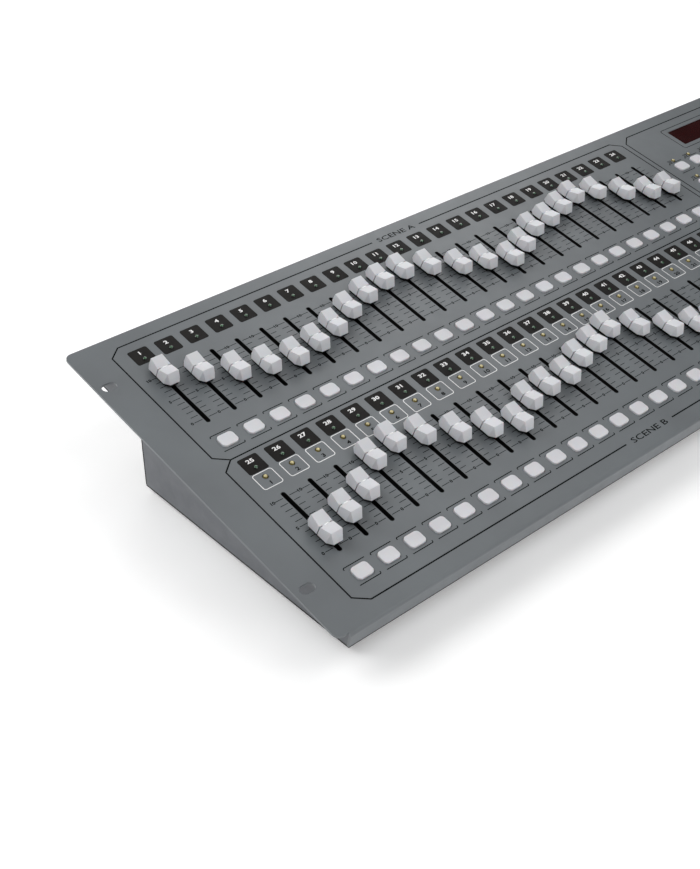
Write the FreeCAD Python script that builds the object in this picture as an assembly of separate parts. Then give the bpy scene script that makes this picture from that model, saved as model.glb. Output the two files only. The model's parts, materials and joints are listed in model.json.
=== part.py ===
"""Two-preset lighting control desk: a sloping steel panel with 48 channel faders on a wedge case.

Units are millimetres. The desk frame has +X to the operator's right, +Y away from the operator and
+Z up, with the origin under the centre of the desk on the surface that it stands on.
The panel frame (x, s, z) has s up the slope from the front edge and z out of the panel.
"""
import FreeCAD, Part
import math
import os

from FreeCAD import Placement, Rotation, Vector

# Panel: six rack units deep, folded down along its front edge
PANEL_WIDTH = 710.0
PANEL_DEPTH = 265.9
PANEL_SHEET = 1.5
PANEL_CORNER = 5.0
PANEL_TILT = 11.56
LIP_HEIGHT = 10.5
LIP_BEND = 2.0
LIP_END_GAP = 7.7

# Rack slots in the two side ears
RACK_SLOT_FROM_EDGE = 8.75
RACK_SLOT_ROWS = (37.7, 228.2)
RACK_SLOT_LENGTH = 10.0
RACK_SLOT_WIDTH = 6.8

# Wedge case under the panel
CASE_SHEET = 1.2
WALL_SHEET = 1.5
EAR_WIDTH = 18.2
FOOT_HEIGHT = 4.0
FOOT_RADIUS = 8.0
FRONT_EDGE_HEIGHT = 26.24
FRONT_WALL_SETBACK = 8.3
REAR_WALL_DEPTH = 209.0
OVERHANG_DROP = 20.5
OVERHANG_END = 257.0
FLANGE_WIDTH = 12.0
FLANGE_END_GAP = 6.0
FOOT_FROM_WALL = 22.0
FOOT_ROWS = (36.0, 187.0)
FLOOR_SCREW_ROWS = (42.0, 117.0, 192.0)

# Channels: two rows of 24, each with a fader, a flash button and a label box
CHANNELS = 24
PITCH = 20.0
FIRST_CHANNEL_FROM_EDGE = 41.7
ROWS = {
    "a": {"slot": 197.0, "button": 152.5, "label_led": 238.1},
    "b": {"slot": 74.3, "button": 29.9, "label_led": 125.0, "memory_led": 116.1},
}
# Channels of one row that rest at the same fader level are grouped: (channels, level)
FADER_GROUPS = {
    "a": [((5, 15, 24), 13.7), ((4, 6, 23), 17.1), ((14, 16), 21.1), ((3, 7), 22.7),
          ((13, 22), 26.7), ((8, 17), 31.4), ((2, 18), 34.0), ((9, 12), 37.9),
          ((19, 21), 39.4), ((1, 10), 43.1), ((11, 20), 44.5)],
    "b": [((1, 19), 10.6), ((9, 18), 13.2), ((2, 20), 16.9), ((8, 17), 20.4),
          ((3, 10), 23.9), ((11, 12), 26.9), ((7, 21), 28.3), ((13, 16), 34.3),
          ((22, 24), 35.9), ((6, 14), 39.0), ((4, 23), 40.1), ((5, 15), 44.4)],
}

# Fader: a cap on a lever that runs in a slotted steel housing
TRAVEL = 45.0
SLOT_LENGTH = 53.2
SLOT_WIDTH = 3.2
LEVER_WIDTH = 1.6
LEVER_LENGTH = 5.0
HOUSING = (9.0, 60.0)
HOUSING_TOP = -2.0
HOUSING_WALL = 1.0
CARRIAGE = (6.0, 7.0)
CARRIAGE_HEIGHT = 3.0
CARRIAGE_FOOT = -7.5
CAP_TOP = (4.2, 8.8, 11.0)
CAP_BASE_HALF = (6.2, 11.6)
CAP_BASE_CORNER = (3.4, 7.8)
CAP_BASE_Z = 3.6
CAP_SADDLE_Z = 8.7
CAP_POCKET_TOP = 7.2

# Push buttons: a cap with a retaining skirt, over a key switch
BUTTON = (11.9, 9.5)
BUTTON_CORNER = 2.7
BUTTON_TOP = 1.1
BUTTON_EDGE = 0.4
BUTTON_SKIRT = (1.0, -3.5, -2.2)
BUTTON_GAP = 0.3
BUTTON_STROKE = 0.8
BANK_SIZE = 12
SWITCH_SIDE = 6.0
SWITCH_HEIGHT = 4.0
PLUNGER_RADIUS = 1.75
PLUNGER_FOOT = -6.9
SWITCH_BORE_FOOT = PLUNGER_FOOT - BUTTON_STROKE - 0.3

# Boards and their fixings
BOARD_TOP = -9.5
BOARD_SHEET = 1.6
LED_RADIUS = 1.5
LED_STANDS = 0.9
LED_GAP = 0.5
POST_RADIUS = 3.0
SCREW_RADIUS = 1.5
SCREW_HEAD = (2.75, 1.8)
SCREW_LENGTH = 6.0
CLEARANCE = 0.2
BOARD_CORNER = 1.0
BOARD_SIDE_MARGIN = 15.0
BOARD_RANGES = {"fader_board_a": (143.0, 248.0), "fader_board_b": (20.0, 133.0),
                "master_board": (20.0, 252.0)}
POST_INSET = (5.0, 3.5)

# Master section to the right of the channels
MASTER_COLUMNS = 7
MASTER_FIRST_COLUMN = 26
MASTER_FADERS = (("master_fader_a", 0, 40.0), ("master_fader_b", 2, 24.0),
                 ("effect_level_fader", 4, 30.0), ("speed_fader", 6, 18.0))
PROGRAM_ROWS = (152.5, 177.5, 202.5)
PLAYBACK_ROW = 29.9
FUNCTION_LED_GAP = 9.5
DISPLAY_PLACE = (246.7, 233.0)
DISPLAY_OPENING = (60.0, 20.0)
DISPLAY_CORNER = 1.0
DISPLAY_MODULE = (52.0, 18.0)
WINDOW_BORDER = (3.0, 2.0, 1.0)
WINDOW_RECESS = 0.3

# Rear wall fittings: places along X, all on one height above the case floor
SOCKET_HEIGHT = 24.0
DMX_PLACES = (200.0, 160.0)
MIDI_PLACES = (120.0, 95.0, 70.0)
AUDIO_PLACES = (40.0, 26.0)
REMOTE_PLACE = 5.0
POWER_INLET_PLACE = 240.0
POWER_SWITCH_PLACE = 268.0

# Rear fittings: barrel radii, then width, height and thickness, or radius and depth
DMX_BARREL = 11.8
DMX_FLANGE = (26.0, 31.0, 2.0)
DMX_SCREW = (9.5, 12.0)
DMX_GROOVE = (7.9, 9.6, 12.0)
DMX_CONTACTS = (4.5, 0.9, 10.0)
MIDI_BARREL = 8.4
MIDI_BEZEL = (9.6, 1.4)
MIDI_GROOVE = (5.4, 6.9, 8.0)
MIDI_CONTACTS = (3.6, 0.8, 6.0)
BARREL_DEPTHS = {"dmx": 20.0, "midi": 14.0, "audio": 8.0, "inlet": 16.0, "switch": 14.0}
AUDIO_BARREL = 4.1
AUDIO_STANDS = 9.0
AUDIO_COLLAR = (5.7, 1.2)
AUDIO_BORE = 1.65
REMOTE_BARREL = 4.7
REMOTE_NUT = (7.0, 2.4)
REMOTE_BORE = (3.2, 20.0)
REMOTE_BODY = (16.0, 14.0, 24.0)
INLET_BARREL = 5.5
INLET_COLLAR = (7.0, 1.6)
INLET_BORE = (2.8, 9.0)
INLET_PIN = 1.05
INLET_PIN_RECESS = 1.5
SWITCH_BODY = (13.0, 19.0)
SWITCH_BEZEL = (15.0, 21.0, 1.8)
SWITCH_WELL = (0.4, 0.8, 6.0)
ROCKER = (9.0, 14.0, 3.2)
ROCKER_FOOT = 2.0
ROCKER_DIP = 1.2
ROCKER_TILT = 10.0

# The processor board lies on the case floor under the master section; its items are given by
# their count, spacing, first corner on the board, width, length and height
PROCESSOR_BOARD = (150.0, 60.0, 300.0, 170.0)
PROCESSOR_POST = 7.0
CHIPS = (3, 42.0, (30.0, 25.0), 24.0, 16.0, 3.5)
RIBBON_SOCKETS = (2, 70.0, (20.0, 96.0), 28.0, 6.0, 9.0)
RIBBON = (20.0, 1.0)
RIBBON_HEADS = (126.0, 160.0)
RIBBON_BENDS = (7.0, 5.0)

SIN = math.sin(math.radians(PANEL_TILT))
COS = math.cos(math.radians(PANEL_TILT))
FRONT_REACH = LIP_BEND * (COS + SIN - 1)
REAR_REACH = PANEL_DEPTH * COS + PANEL_SHEET * SIN
Y_SHIFT = -(FRONT_REACH + REAR_REACH) / 2
FLOOR = FOOT_HEIGHT
CASE_X = PANEL_WIDTH / 2 - EAR_WIDTH
PANEL_PLACE = Placement(Vector(0, Y_SHIFT, FRONT_EDGE_HEIGHT + FLOOR),
                        Rotation(Vector(1, 0, 0), PANEL_TILT))


def channel_x(channel):
    return -PANEL_WIDTH / 2 + FIRST_CHANNEL_FROM_EDGE + (channel - 1) * PITCH


MASTER_XS = [channel_x(MASTER_FIRST_COLUMN + column) for column in range(MASTER_COLUMNS)]


def desk(s, z):
    """Desk Y and Z of a point at s up the slope and z out of the panel."""
    point = PANEL_PLACE.multVec(Vector(0, s, z))
    return point.y, point.z


def on_slope(y, z):
    """Desk Y and Z of the point at depth y on the plane z out of the panel."""
    s = (y - Y_SHIFT + z * SIN) / COS
    return desk(s, z)


def on_floor(s, height):
    """Desk Y and Z of the point at s up the slope, at a height above the case floor plane."""
    z = (height - FRONT_EDGE_HEIGHT - s * SIN) / COS
    return desk(s, z)


def tilted(shape):
    placed = shape.copy()
    placed.Placement = PANEL_PLACE.multiply(placed.Placement)
    return placed


def moved(shape, x, y, z=0.0):
    placed = shape.copy()
    placed.translate(Vector(x, y, z))
    return placed


def block(x0, x1, y0, y1, z0, z1):
    return Part.makeBox(x1 - x0, y1 - y0, z1 - z0, Vector(x0, y0, z0))


def centred_block(width, length, z0, z1):
    return block(-width / 2, width / 2, -length / 2, length / 2, z0, z1)


def rounded_outline(width, length, radius, x=0.0, y=0.0):
    """Closed wire of a rectangle with round corners, in the XY plane."""
    half_x, half_y = width / 2 - radius, length / 2 - radius
    edges = []
    for quarter in range(4):
        turn = Rotation(Vector(0, 0, 1), 90 * quarter)
        near, far = (half_x, half_y) if quarter % 2 == 0 else (half_y, half_x)
        shift = Vector(x, y, 0)
        start = shift + turn.multVec(Vector(near + radius, far, 0))
        middle = Vector(near + radius * math.sqrt(0.5), far + radius * math.sqrt(0.5), 0)
        end = shift + turn.multVec(Vector(near, far + radius, 0))
        edges.append(Part.Arc(start, shift + turn.multVec(middle), end).toShape())
        following = shift + turn.multVec(Vector(-near, far + radius, 0))
        if (following - end).Length > 1e-6:
            edges.append(Part.makeLine(end, following))
    return Part.Wire(edges)


def circle_outline(radius, x=0.0, y=0.0):
    return Part.Wire(Part.makeCircle(radius, Vector(x, y, 0)))


def sheet(outlines, z0, z1):
    """Flat sheet between two heights; the first outline is its edge and the others are holes."""
    face = Part.makeFace(outlines, "Part::FaceMakerBullseye")
    face.translate(Vector(0, 0, z0))
    return face.extrude(Vector(0, 0, z1 - z0))


def profile_bar(points, x0, x1):
    """Bar along X with a straight-sided profile, given as desk Y and Z pairs."""
    corners = [Vector(x0, y, z) for y, z in points]
    face = Part.Face(Part.makePolygon(corners + corners[:1]))
    return face.extrude(Vector(x1 - x0, 0, 0))


def cylinder(radius, z0, z1, x=0.0, y=0.0):
    return Part.makeCylinder(radius, z1 - z0, Vector(x, y, z0))


def rod_y(radius, y0, y1, x, z):
    """Cylinder along Y in the desk frame."""
    return Part.makeCylinder(radius, y1 - y0, Vector(x, y0, z), Vector(0, 1, 0))


def polyhedron(corners, faces):
    shells = []
    for face in faces:
        loop = [corners[name] for name in face]
        shells.append(Part.Face(Part.makePolygon(loop + loop[:1])))
    return Part.makeSolid(Part.makeShell(shells))


# ---- places that repeat ----

def channel_places(key):
    """x and s of every channel's item in the rows that have it."""
    return [(channel_x(channel), row[key])
            for row in ROWS.values() if key in row
            for channel in range(1, CHANNELS + 1)]


def program_places():
    return [(x, s) for s in PROGRAM_ROWS for x in MASTER_XS]


def playback_places():
    return [(x, PLAYBACK_ROW) for x in MASTER_XS]


def function_places():
    return program_places() + playback_places()


def master_fader_places():
    return [(MASTER_XS[column], ROWS["b"]["slot"]) for _, column, _ in MASTER_FADERS]


def fader_places():
    return channel_places("slot") + master_fader_places()


def button_places():
    return channel_places("button") + function_places()


def green_led_places():
    return channel_places("label_led")


def amber_led_places():
    return channel_places("memory_led") + [(x, s + FUNCTION_LED_GAP) for x, s in function_places()]


def board_outlines():
    """Name, x range and s range of each board behind the panel."""
    outlines = []
    for name, (s0, s1) in BOARD_RANGES.items():
        if name == "master_board":
            first, last = MASTER_XS[0], MASTER_XS[-1]
        else:
            first, last = channel_x(1), channel_x(CHANNELS)
        outlines.append((name, first - BOARD_SIDE_MARGIN, last + BOARD_SIDE_MARGIN, s0, s1))
    return outlines


def post_places(x0, x1, s0, s1):
    """Six posts near the edges of a board, midway between two columns of faders."""
    middle = channel_x(1) + PITCH * (round(((x0 + x1) / 2 - channel_x(1)) / PITCH) + 0.5)
    inset_x, inset_s = POST_INSET
    return [(x, s) for x in (x0 + inset_x, middle, x1 - inset_x) for s in (s0 + inset_s, s1 - inset_s)]


def rack_slot_places():
    x = PANEL_WIDTH / 2 - RACK_SLOT_FROM_EDGE
    return [(side * x, s) for side in (-1, 1) for s in RACK_SLOT_ROWS]


def foot_places():
    x = CASE_X - FOOT_FROM_WALL
    return [(side * x, Y_SHIFT + y) for side in (-1, 1) for y in FOOT_ROWS]


def floor_screw_places():
    x = CASE_X - WALL_SHEET - FLANGE_WIDTH / 2
    return [(side * x, Y_SHIFT + y) for side in (-1, 1) for y in FLOOR_SCREW_ROWS]


def processor_post_places():
    x0, y0, x1, y1 = PROCESSOR_BOARD
    inset = POST_INSET[0]
    return [(x, Y_SHIFT + y) for x in (x0 + inset, x1 - inset) for y in (y0 + inset, y1 - inset)]


# ---- sheet metal ----

def front_lip():
    r, t = LIP_BEND, PANEL_SHEET
    inner = r - t
    x0 = -PANEL_WIDTH / 2 + LIP_END_GAP
    half = math.sqrt(0.5)

    def at(s, z):
        return Vector(x0, s, z)

    edges = [
        Part.Arc(at(r, 0), at(r - r * half, r * half - r), at(0, -r)).toShape(),
        Part.makeLine(at(0, -r), at(0, -LIP_HEIGHT)),
        Part.makeLine(at(0, -LIP_HEIGHT), at(t, -LIP_HEIGHT)),
        Part.makeLine(at(t, -LIP_HEIGHT), at(t, -r)),
        Part.Arc(at(t, -r), at(r - inner * half, inner * half - r), at(r, -t)).toShape(),
        Part.makeLine(at(r, -t), at(r, 0)),
    ]
    return Part.Face(Part.Wire(edges)).extrude(Vector(PANEL_WIDTH - 2 * LIP_END_GAP, 0, 0))


def panel_outline():
    """Edge of the flat part: full width, with its front edge at the start of the fold."""
    length = PANEL_DEPTH - LIP_BEND
    return rounded_outline(PANEL_WIDTH, length, PANEL_CORNER, 0.0, LIP_BEND + length / 2)


def control_panel():
    outlines = [panel_outline()]
    for x, s in rack_slot_places():
        radius = RACK_SLOT_WIDTH / 2 - 0.01
        outlines.append(rounded_outline(RACK_SLOT_LENGTH, RACK_SLOT_WIDTH, radius, x, s))
    for x, s in fader_places():
        outlines.append(rounded_outline(SLOT_WIDTH, SLOT_LENGTH, SLOT_WIDTH / 2 - 0.01, x, s))
    for x, s in button_places():
        width, length = BUTTON[0] + 2 * BUTTON_GAP, BUTTON[1] + 2 * BUTTON_GAP
        outlines.append(rounded_outline(width, length, BUTTON_CORNER + BUTTON_GAP, x, s))
    for x, s in green_led_places() + amber_led_places():
        outlines.append(circle_outline(LED_RADIUS + LED_GAP, x, s))
    outlines.append(rounded_outline(*DISPLAY_OPENING, DISPLAY_CORNER, *DISPLAY_PLACE))
    plate = sheet(outlines, -PANEL_SHEET, 0)
    return tilted(plate.fuse(front_lip()).removeSplitter())


def side_wall(side):
    """Wall that closes one end of the case, with a flange that lies on the floor tray."""
    rear = Y_SHIFT + REAR_WALL_DEPTH - CASE_SHEET
    back = OVERHANG_END - CASE_SHEET
    front = FRONT_WALL_SETBACK + WALL_SHEET
    cover_top = CASE_SHEET - OVERHANG_DROP
    floor_top = FLOOR + CASE_SHEET
    points = [desk(front, -PANEL_SHEET), desk(back, -PANEL_SHEET), desk(back, cover_top),
              on_slope(rear, cover_top), (rear, floor_top), on_floor(front, CASE_SHEET)]
    outer, inner = side * CASE_X, side * (CASE_X - WALL_SHEET)
    wall = profile_bar(points, *sorted((outer, inner)))
    edge = side * (CASE_X - WALL_SHEET - FLANGE_WIDTH)
    x0, x1 = sorted((inner, edge))
    front_y = on_floor(front, CASE_SHEET)[0] + FLANGE_END_GAP
    flange = block(x0, x1, front_y, rear - FLANGE_END_GAP, floor_top, floor_top + CASE_SHEET)
    for x, y in floor_screw_places():
        if x * side > 0:
            hole = cylinder(SCREW_RADIUS + CLEARANCE, floor_top - 1, floor_top + 4, x, y)
            flange = flange.cut(hole)
    return wall.fuse(flange).removeSplitter()


def front_wall():
    s0, s1 = FRONT_WALL_SETBACK, FRONT_WALL_SETBACK + WALL_SHEET
    points = [desk(s0, -PANEL_SHEET), desk(s1, -PANEL_SHEET),
              on_floor(s1, CASE_SHEET), on_floor(s0, CASE_SHEET)]
    return profile_bar(points, -CASE_X, CASE_X)


def floor_tray():
    front = on_floor(FRONT_WALL_SETBACK, 0)[0]
    rear = Y_SHIFT + REAR_WALL_DEPTH
    outlines = [rounded_outline(2 * CASE_X, rear - front, 0.5, 0.0, (front + rear) / 2)]
    for x, y in floor_screw_places() + foot_places() + processor_post_places():
        outlines.append(circle_outline(SCREW_RADIUS + CLEARANCE, x, y))
    return sheet(outlines, FLOOR, FLOOR + CASE_SHEET)


def rear_wall():
    """Upright wall that carries the sockets; its top edge follows the underside of the overhang."""
    y0, y1 = Y_SHIFT + REAR_WALL_DEPTH - CASE_SHEET, Y_SHIFT + REAR_WALL_DEPTH
    points = [(y0, FLOOR + CASE_SHEET), (y1, FLOOR + CASE_SHEET),
              on_slope(y1, -OVERHANG_DROP), on_slope(y0, -OVERHANG_DROP)]
    wall = profile_bar(points, -CASE_X, CASE_X)
    z = FLOOR + SOCKET_HEIGHT
    cutters = [rod_y(DMX_BARREL, y0 - 1, y1 + 1, x, z) for x in DMX_PLACES]
    cutters += [rod_y(MIDI_BARREL, y0 - 1, y1 + 1, x, z) for x in MIDI_PLACES]
    cutters += [rod_y(AUDIO_BARREL, y0 - 1, y1 + 1, x, z) for x in AUDIO_PLACES]
    cutters += [rod_y(REMOTE_BARREL, y0 - 1, y1 + 1, REMOTE_PLACE, z)]
    cutters += [rod_y(INLET_BARREL, y0 - 1, y1 + 1, POWER_INLET_PLACE, z)]
    width, height = SWITCH_BODY
    cutters.append(block(POWER_SWITCH_PLACE - width / 2, POWER_SWITCH_PLACE + width / 2,
                         y0 - 1, y1 + 1, z - height / 2, z + height / 2))
    for x, dx, dz in dmx_screw_offsets():
        cutters.append(rod_y(SCREW_RADIUS + CLEARANCE, y0 - 1, y1 + 1, x + dx, z + dz))
    return wall.cut(cutters)


def overhang_cover():
    """Cover under the rear overhang, turned up at the back to meet the panel."""
    start = Y_SHIFT + REAR_WALL_DEPTH - CASE_SHEET
    back = OVERHANG_END - CASE_SHEET
    top, bottom = CASE_SHEET - OVERHANG_DROP, -OVERHANG_DROP
    points = [on_slope(start, top), desk(back, top), desk(back, -PANEL_SHEET),
              desk(OVERHANG_END, -PANEL_SHEET), desk(OVERHANG_END, bottom), on_slope(start, bottom)]
    return profile_bar(points, -CASE_X, CASE_X)


def rubber_feet():
    feet = []
    for x, y in foot_places():
        foot = Part.makeCone(FOOT_RADIUS - 1.0, FOOT_RADIUS, FOOT_HEIGHT, Vector(x, y, 0))
        recess = cylinder(SCREW_HEAD[0] + 0.4, 0, FOOT_HEIGHT - 1.2, x, y)
        hole = cylinder(SCREW_RADIUS + CLEARANCE, 0, FOOT_HEIGHT, x, y)
        feet.append(foot.cut([recess, hole]))
    return Part.makeCompound(feet)


# ---- boards and what stands on them ----

def board(x0, x1, s0, s1):
    outlines = [rounded_outline(x1 - x0, s1 - s0, BOARD_CORNER, (x0 + x1) / 2, (s0 + s1) / 2)]
    for x, s in post_places(x0, x1, s0, s1):
        outlines.append(circle_outline(SCREW_RADIUS + CLEARANCE, x, s))
    return tilted(sheet(outlines, BOARD_TOP - BOARD_SHEET, BOARD_TOP))


def board_posts():
    posts = []
    ring = [circle_outline(POST_RADIUS), circle_outline(SCREW_RADIUS + 0.1)]
    for _, x0, x1, s0, s1 in board_outlines():
        for x, s in post_places(x0, x1, s0, s1):
            posts.append(tilted(moved(sheet(ring, BOARD_TOP, -PANEL_SHEET), x, s)))
    bottom = FLOOR + CASE_SHEET
    for x, y in processor_post_places():
        posts.append(moved(sheet(ring, bottom, bottom + PROCESSOR_POST), x, y))
    return Part.makeCompound(posts)


def board_items(count, spacing, corner, width, length, height, top):
    """Row of identical blocks that stand on the processor board."""
    x0, y0 = PROCESSOR_BOARD[:2]
    items = []
    for index in range(count):
        x, y = x0 + corner[0] + index * spacing, Y_SHIFT + y0 + corner[1]
        items.append(block(x, x + width, y, y + length, top, top + height))
    return items


def processor_board():
    """Controller board with its main chips and two ribbon sockets."""
    x0, y0, x1, y1 = PROCESSOR_BOARD
    bottom = FLOOR + CASE_SHEET + PROCESSOR_POST
    top = bottom + BOARD_SHEET
    centre_x, centre_y = (x0 + x1) / 2, Y_SHIFT + (y0 + y1) / 2
    outlines = [rounded_outline(x1 - x0, y1 - y0, BOARD_CORNER, centre_x, centre_y)]
    for x, y in processor_post_places():
        outlines.append(circle_outline(SCREW_RADIUS + CLEARANCE, x, y))
    parts = [sheet(outlines, bottom, top)]
    parts += board_items(*CHIPS, top) + board_items(*RIBBON_SOCKETS, top)
    return Part.makeCompound(parts)


def ribbon_cables():
    """Flat cables from the two fader boards down to the sockets on the processor board."""
    _, spacing, corner, socket_width, socket_length, socket_height = RIBBON_SOCKETS
    width, half = RIBBON[0], RIBBON[1] / 2
    bend_below, bend_above = RIBBON_BENDS
    foot_z = FLOOR + CASE_SHEET + PROCESSOR_POST + BOARD_SHEET + socket_height
    foot_y = Y_SHIFT + PROCESSOR_BOARD[1] + corner[1] + socket_length / 2
    cables = []
    for index, s in enumerate(RIBBON_HEADS):
        head_y, board_foot = desk(s, BOARD_TOP - BOARD_SHEET)
        head_z = board_foot - CLEARANCE
        bend_top, bend_foot = head_z - bend_below, foot_z + bend_above
        points = [(head_y - half, head_z), (head_y + half, head_z), (head_y + half, bend_top),
                  (foot_y + half, bend_foot), (foot_y + half, foot_z), (foot_y - half, foot_z),
                  (foot_y - half, bend_foot), (head_y - half, bend_top)]
        x = PROCESSOR_BOARD[0] + corner[0] + index * spacing + (socket_width - width) / 2
        cables.append(profile_bar(points, x, x + width))
    return Part.makeCompound(cables)


def tact_switches():
    body = centred_block(SWITCH_SIDE, SWITCH_SIDE, BOARD_TOP, BOARD_TOP + SWITCH_HEIGHT)
    body = body.cut(cylinder(PLUNGER_RADIUS + 0.1, SWITCH_BORE_FOOT, 0))
    return Part.makeCompound([tilted(moved(body, x, s)) for x, s in button_places()])


def leds(places):
    body = cylinder(LED_RADIUS, BOARD_TOP, 0)
    dome = Part.makeSphere(LED_RADIUS, Vector(0, 0, LED_STANDS - LED_RADIUS))
    lamp = body.fuse(dome.common(centred_block(4, 4, -LED_RADIUS, LED_RADIUS))).removeSplitter()
    return Part.makeCompound([tilted(moved(lamp, x, s)) for x, s in places])


def display_module():
    x, s = DISPLAY_PLACE
    top = -PANEL_SHEET - WINDOW_BORDER[2] - 2 * CLEARANCE
    body = centred_block(*DISPLAY_MODULE, BOARD_TOP, top)
    return tilted(moved(body, x, s))


def display_window():
    x, s = DISPLAY_PLACE
    width, length = DISPLAY_OPENING
    side, end, thick = WINDOW_BORDER
    outline = rounded_outline(width - 2 * CLEARANCE, length - 2 * CLEARANCE, DISPLAY_CORNER - CLEARANCE)
    pane = sheet([outline], -PANEL_SHEET, -WINDOW_RECESS)
    border = centred_block(width + 2 * side, length + 2 * end, -PANEL_SHEET - thick, -PANEL_SHEET)
    return tilted(moved(pane.fuse(border).removeSplitter(), x, s))


# ---- faders ----

def fader_housings():
    """Slide potentiometer bodies: hollow steel boxes with a slot along the top."""
    width, length = HOUSING
    wall = HOUSING_WALL
    body = centred_block(width, length, BOARD_TOP, HOUSING_TOP)
    hollow = centred_block(width - 2 * wall, length - 4 * wall, BOARD_TOP + wall, HOUSING_TOP - wall)
    mouth = centred_block(SLOT_WIDTH + 2 * CLEARANCE, SLOT_LENGTH + 4 * CLEARANCE,
                          HOUSING_TOP - 2 * wall, HOUSING_TOP + 1)
    body = body.cut([hollow, mouth])
    return Part.makeCompound([tilted(moved(body, x, s)) for x, s in fader_places()])


def cap_body():
    """Faceted finger cap: a saddle top with a lobe at each end and cut lower corners."""
    top_x, top_s, top_z = CAP_TOP
    base_x, base_s = CAP_BASE_HALF
    corner_x, corner_s = CAP_BASE_CORNER
    saddle_x = top_x + (base_x - top_x) * (top_z - CAP_SADDLE_Z) / (top_z - CAP_BASE_Z)
    corners = {}
    for i in (-1, 1):
        corners["saddle", i] = Vector(i * saddle_x, 0, CAP_SADDLE_Z)
        for j in (-1, 1):
            corners["top", i, j] = Vector(i * top_x, j * top_s, top_z)
            corners["side", i, j] = Vector(i * base_x, j * corner_s, CAP_BASE_Z)
            corners["end", i, j] = Vector(i * corner_x, j * base_s, CAP_BASE_Z)
    faces = []
    for i in (-1, 1):
        faces.append([("top", i, -1), ("saddle", i), ("top", i, 1), ("side", i, 1), ("side", i, -1)])
        faces.append([("top", -1, i), ("top", 1, i), ("saddle", 1), ("saddle", -1)])
        faces.append([("top", -1, i), ("top", 1, i), ("end", 1, i), ("end", -1, i)])
        for j in (-1, 1):
            faces.append([("top", i, j), ("side", i, j), ("end", i, j)])
    faces.append([("end", -1, -1), ("end", 1, -1), ("side", 1, -1), ("side", 1, 1),
                  ("end", 1, 1), ("end", -1, 1), ("side", -1, 1), ("side", -1, -1)])
    return polyhedron(corners, faces)


def fader_slider():
    """Cap and the lever with its carriage, with the cap pushed onto the lever."""
    lever = centred_block(LEVER_WIDTH, LEVER_LENGTH, CARRIAGE_FOOT, CAP_POCKET_TOP)
    carriage = centred_block(*CARRIAGE, CARRIAGE_FOOT, CARRIAGE_FOOT + CARRIAGE_HEIGHT)
    pocket = centred_block(LEVER_WIDTH, LEVER_LENGTH, 0, CAP_POCKET_TOP)
    return [cap_body().cut(pocket), lever.fuse(carriage).removeSplitter()]


def sliders_at(places):
    """Tilted caps and levers at x and s places."""
    slider = fader_slider()
    return Part.makeCompound([tilted(moved(part, x, s)) for x, s in places for part in slider])


def level_s(slot, level):
    return slot - TRAVEL / 2 + level


def fader_group_name(row, channels):
    return "_".join(["faders", row] + ["{:02d}".format(channel) for channel in channels])


# ---- push buttons ----

def button_cap():
    """Cap with a retaining skirt under the panel and a plunger into the switch."""
    reach, skirt_foot, skirt_top = BUTTON_SKIRT
    cap = sheet([rounded_outline(*BUTTON, BUTTON_CORNER)], skirt_foot, BUTTON_TOP)
    rim = [edge for edge in cap.Edges if min(v.Z for v in edge.Vertexes) > BUTTON_TOP - 0.01]
    cap = cap.makeFillet(BUTTON_EDGE, rim)
    skirt = centred_block(BUTTON[0] + 2 * reach, BUTTON[1] + 2 * reach, skirt_foot, skirt_top)
    plunger = cylinder(PLUNGER_RADIUS, PLUNGER_FOOT, skirt_foot)
    return cap.fuse([skirt, plunger]).removeSplitter()


def buttons_at(places):
    cap = button_cap()
    return Part.makeCompound([tilted(moved(cap, x, s)) for x, s in places])


def button_banks():
    """Flash buttons in banks of neighbouring channels."""
    banks = {}
    for name, row in ROWS.items():
        for first in range(1, CHANNELS + 1, BANK_SIZE):
            last = first + BANK_SIZE - 1
            places = [(channel_x(channel), row["button"]) for channel in range(first, last + 1)]
            banks["flash_buttons_{}_{:02d}_{:02d}".format(name, first, last)] = buttons_at(places)
    return banks


# ---- rear fittings ----

def dmx_screw_offsets():
    dx, dz = DMX_SCREW
    return [(x, side * dx, side * dz) for x in DMX_PLACES for side in (-1, 1)]


def contact_holes(x, z, y_face, count, circle, radius, depth):
    """Contact holes on an open arc of a circle, sunk into a socket's face."""
    holes = []
    for index in range(count):
        angle = math.radians(180.0 + 180.0 * index / (count - 1))
        hole_x, hole_z = x + circle * math.cos(angle), z + circle * math.sin(angle)
        holes.append(rod_y(radius, y_face - depth, y_face + 1, hole_x, hole_z))
    return holes


def ring_groove(core, outer, front, deep, x, z):
    """Cutter for a ring-shaped groove sunk into a face that looks along +Y."""
    disc = rod_y(outer, front - deep, front + 1, x, z)
    return disc.cut(rod_y(core, front - deep - 1, front + 2, x, z))


def dmx_sockets():
    """Chassis sockets: one three-pole and one five-pole, each on a square flange."""
    face = Y_SHIFT + REAR_WALL_DEPTH
    z = FLOOR + SOCKET_HEIGHT
    width, height, thick = DMX_FLANGE
    core, groove, deep = DMX_GROOVE
    sockets = []
    for x, poles in zip(DMX_PLACES, (3, 5)):
        flange = block(x - width / 2, x + width / 2, face, face + thick, z - height / 2, z + height / 2)
        body = flange.fuse(rod_y(DMX_BARREL - CLEARANCE, face - BARREL_DEPTHS["dmx"], face, x, z))
        front = face + thick
        cutters = [ring_groove(core, groove, front, deep, x, z)]
        cutters += contact_holes(x, z, front, poles, *DMX_CONTACTS)
        dx, dz = DMX_SCREW
        cutters += [rod_y(SCREW_RADIUS + CLEARANCE, face - 1, front + 1, x + side * dx, z + side * dz)
                    for side in (-1, 1)]
        sockets.append(body.cut(cutters))
    return Part.makeCompound(sockets)


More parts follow.
